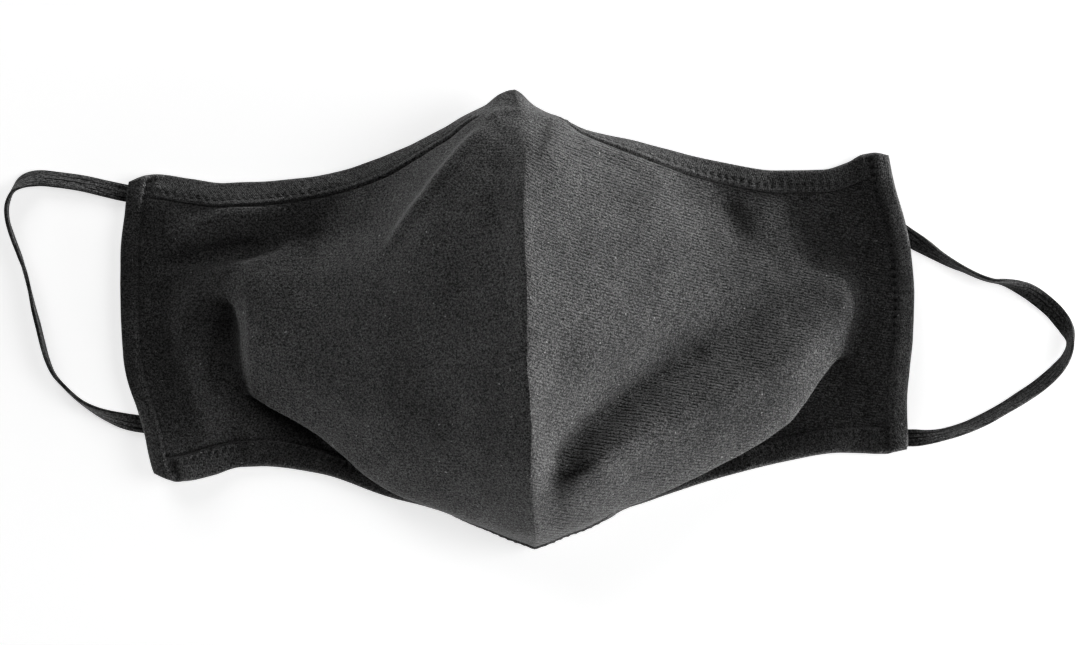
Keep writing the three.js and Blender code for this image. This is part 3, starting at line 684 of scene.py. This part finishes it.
band = dict(cotton, pitch=0.6, lineDark=0.35, dash=3.0)
rib = dict(cotton, colour=0.04, pitch=1.25, lineDark=0.85, dash=14.0)
cottonLeft = clothMaterial("cottonLeft", dict(cotton, lineDark=0.2))
cottonRight = clothMaterial("cottonRight", cotton)
cottonBand = clothMaterial("cottonBand", band, 90)
elasticKnit = clothMaterial("elasticKnit", rib)
blackThread = plainThread("blackThread", 0.01)
for made, material in ((leftSide, cottonLeft), (rightSide, cottonRight)):
    made["panel"].data.materials.append(material)
    for key in ("topHem", "bottomHem", "casing"):
        made[key].data.materials.append(cottonBand)
    made["stitches"].data.materials.append(blackThread)
for loop in (loopLeft, loopRight):
    loop.data.materials.append(elasticKnit)
print("materials set")

# stage and light
stage = {"reach": 4000, "level": -0.3, "glow": 0.65}  # half the floor's width and its height, in mm


# A pale floor, eight metres across, just below the mask. It glows a little, as paper under a soft box does.
def makeFloor():
    reach, z = stage["reach"], stage["level"]
    corners = np.array([[-reach, -reach, z], [reach, -reach, z], [reach, reach, z], [-reach, reach, z]],
                       float)
    floor = quadMesh("floor", corners, np.array([[0, 1, 2, 3]]))
    material, tree, shader = nodeTree("paleTable")
    shader.inputs["Base Color"].default_value = (0.9, 0.9, 0.9, 1)
    shader.inputs["Roughness"].default_value = 0.9
    shader.inputs["Emission Color"].default_value = (1, 1, 1, 1)
    shader.inputs["Emission Strength"].default_value = stage["glow"]
    floor.data.materials.append(material)


# Lights: name, azimuth and height angle in degrees, distance, width and height of the panel in metres,
# watts. The low ones stand on the floor like light boxes and rake across the cloth.
lamps = [("keyRight", 0, 0, 0.9, 0.8, 0.03, 5.2), ("keyUpperRight", 30, 0, 0.9, 0.8, 0.03, 12.4),
         ("keyLowerRight", 330, 0, 0.9, 0.8, 0.03, 14.7), ("rimUpperRight", 60, 0, 0.9, 0.8, 0.03, 4.6),
         ("tallLowerRight", 335, 0, 0.9, 0.8, 0.2, 5.2), ("softRight", 0, 40, 1.2, 0.6, 0.6, 2.9),
         ("softRightLow", 0, 25, 1.2, 0.6, 0.6, 2.3), ("softUpperLeft", 120, 25, 1.2, 0.6, 0.6, 4.2),
         ("fillLowerLeft", 200, 0, 0.9, 0.8, 0.03, 6.1), ("fillAbove", 100, 0, 0.9, 0.8, 0.03, 3.1),
         ("fillBelow", 240, 0, 0.9, 0.8, 0.03, 1.7)]


# A panel light on a ray from the middle: x = d cos(azimuth) cos(rise), y = d sin(azimuth) cos(rise),
# z = d sin(rise), turned to face the middle. It is raised by half its height x cos(rise)^8, so that a low
# one stands on the floor.
def addLamp(name, azimuth, rise, distance, width, height, watts):
    light = bpy.data.lights.new(name, "AREA")
    light.shape = "RECTANGLE"
    light.size, light.size_y = width, height
    light.energy = watts
    lamp = bpy.data.objects.new(name, light)
    turn, tilt = math.radians(azimuth), math.radians(rise)
    lamp.location = (distance * math.cos(turn) * math.cos(tilt), distance * math.sin(turn) * math.cos(tilt),
                     distance * math.sin(tilt) + height / 2 * math.cos(tilt) ** 8)
    lamp.rotation_euler = (math.pi / 2 - tilt, 0, turn + math.pi / 2)
    lamp.visible_camera = False
    bpy.context.collection.objects.link(lamp)


# A faint white world and the lamps.
def makeLight():
    world = bpy.data.worlds.new("studio")
    world.use_nodes = True
    world.node_tree.nodes["Background"].inputs[0].default_value = (1, 1, 1, 1)
    world.node_tree.nodes["Background"].inputs[1].default_value = 0.02
    bpy.context.scene.world = world
    for lamp in lamps:
        addLamp(*lamp)
    bpy.context.scene.view_settings.view_transform = "Standard"


makeFloor()
makeLight()
print("stage lit")
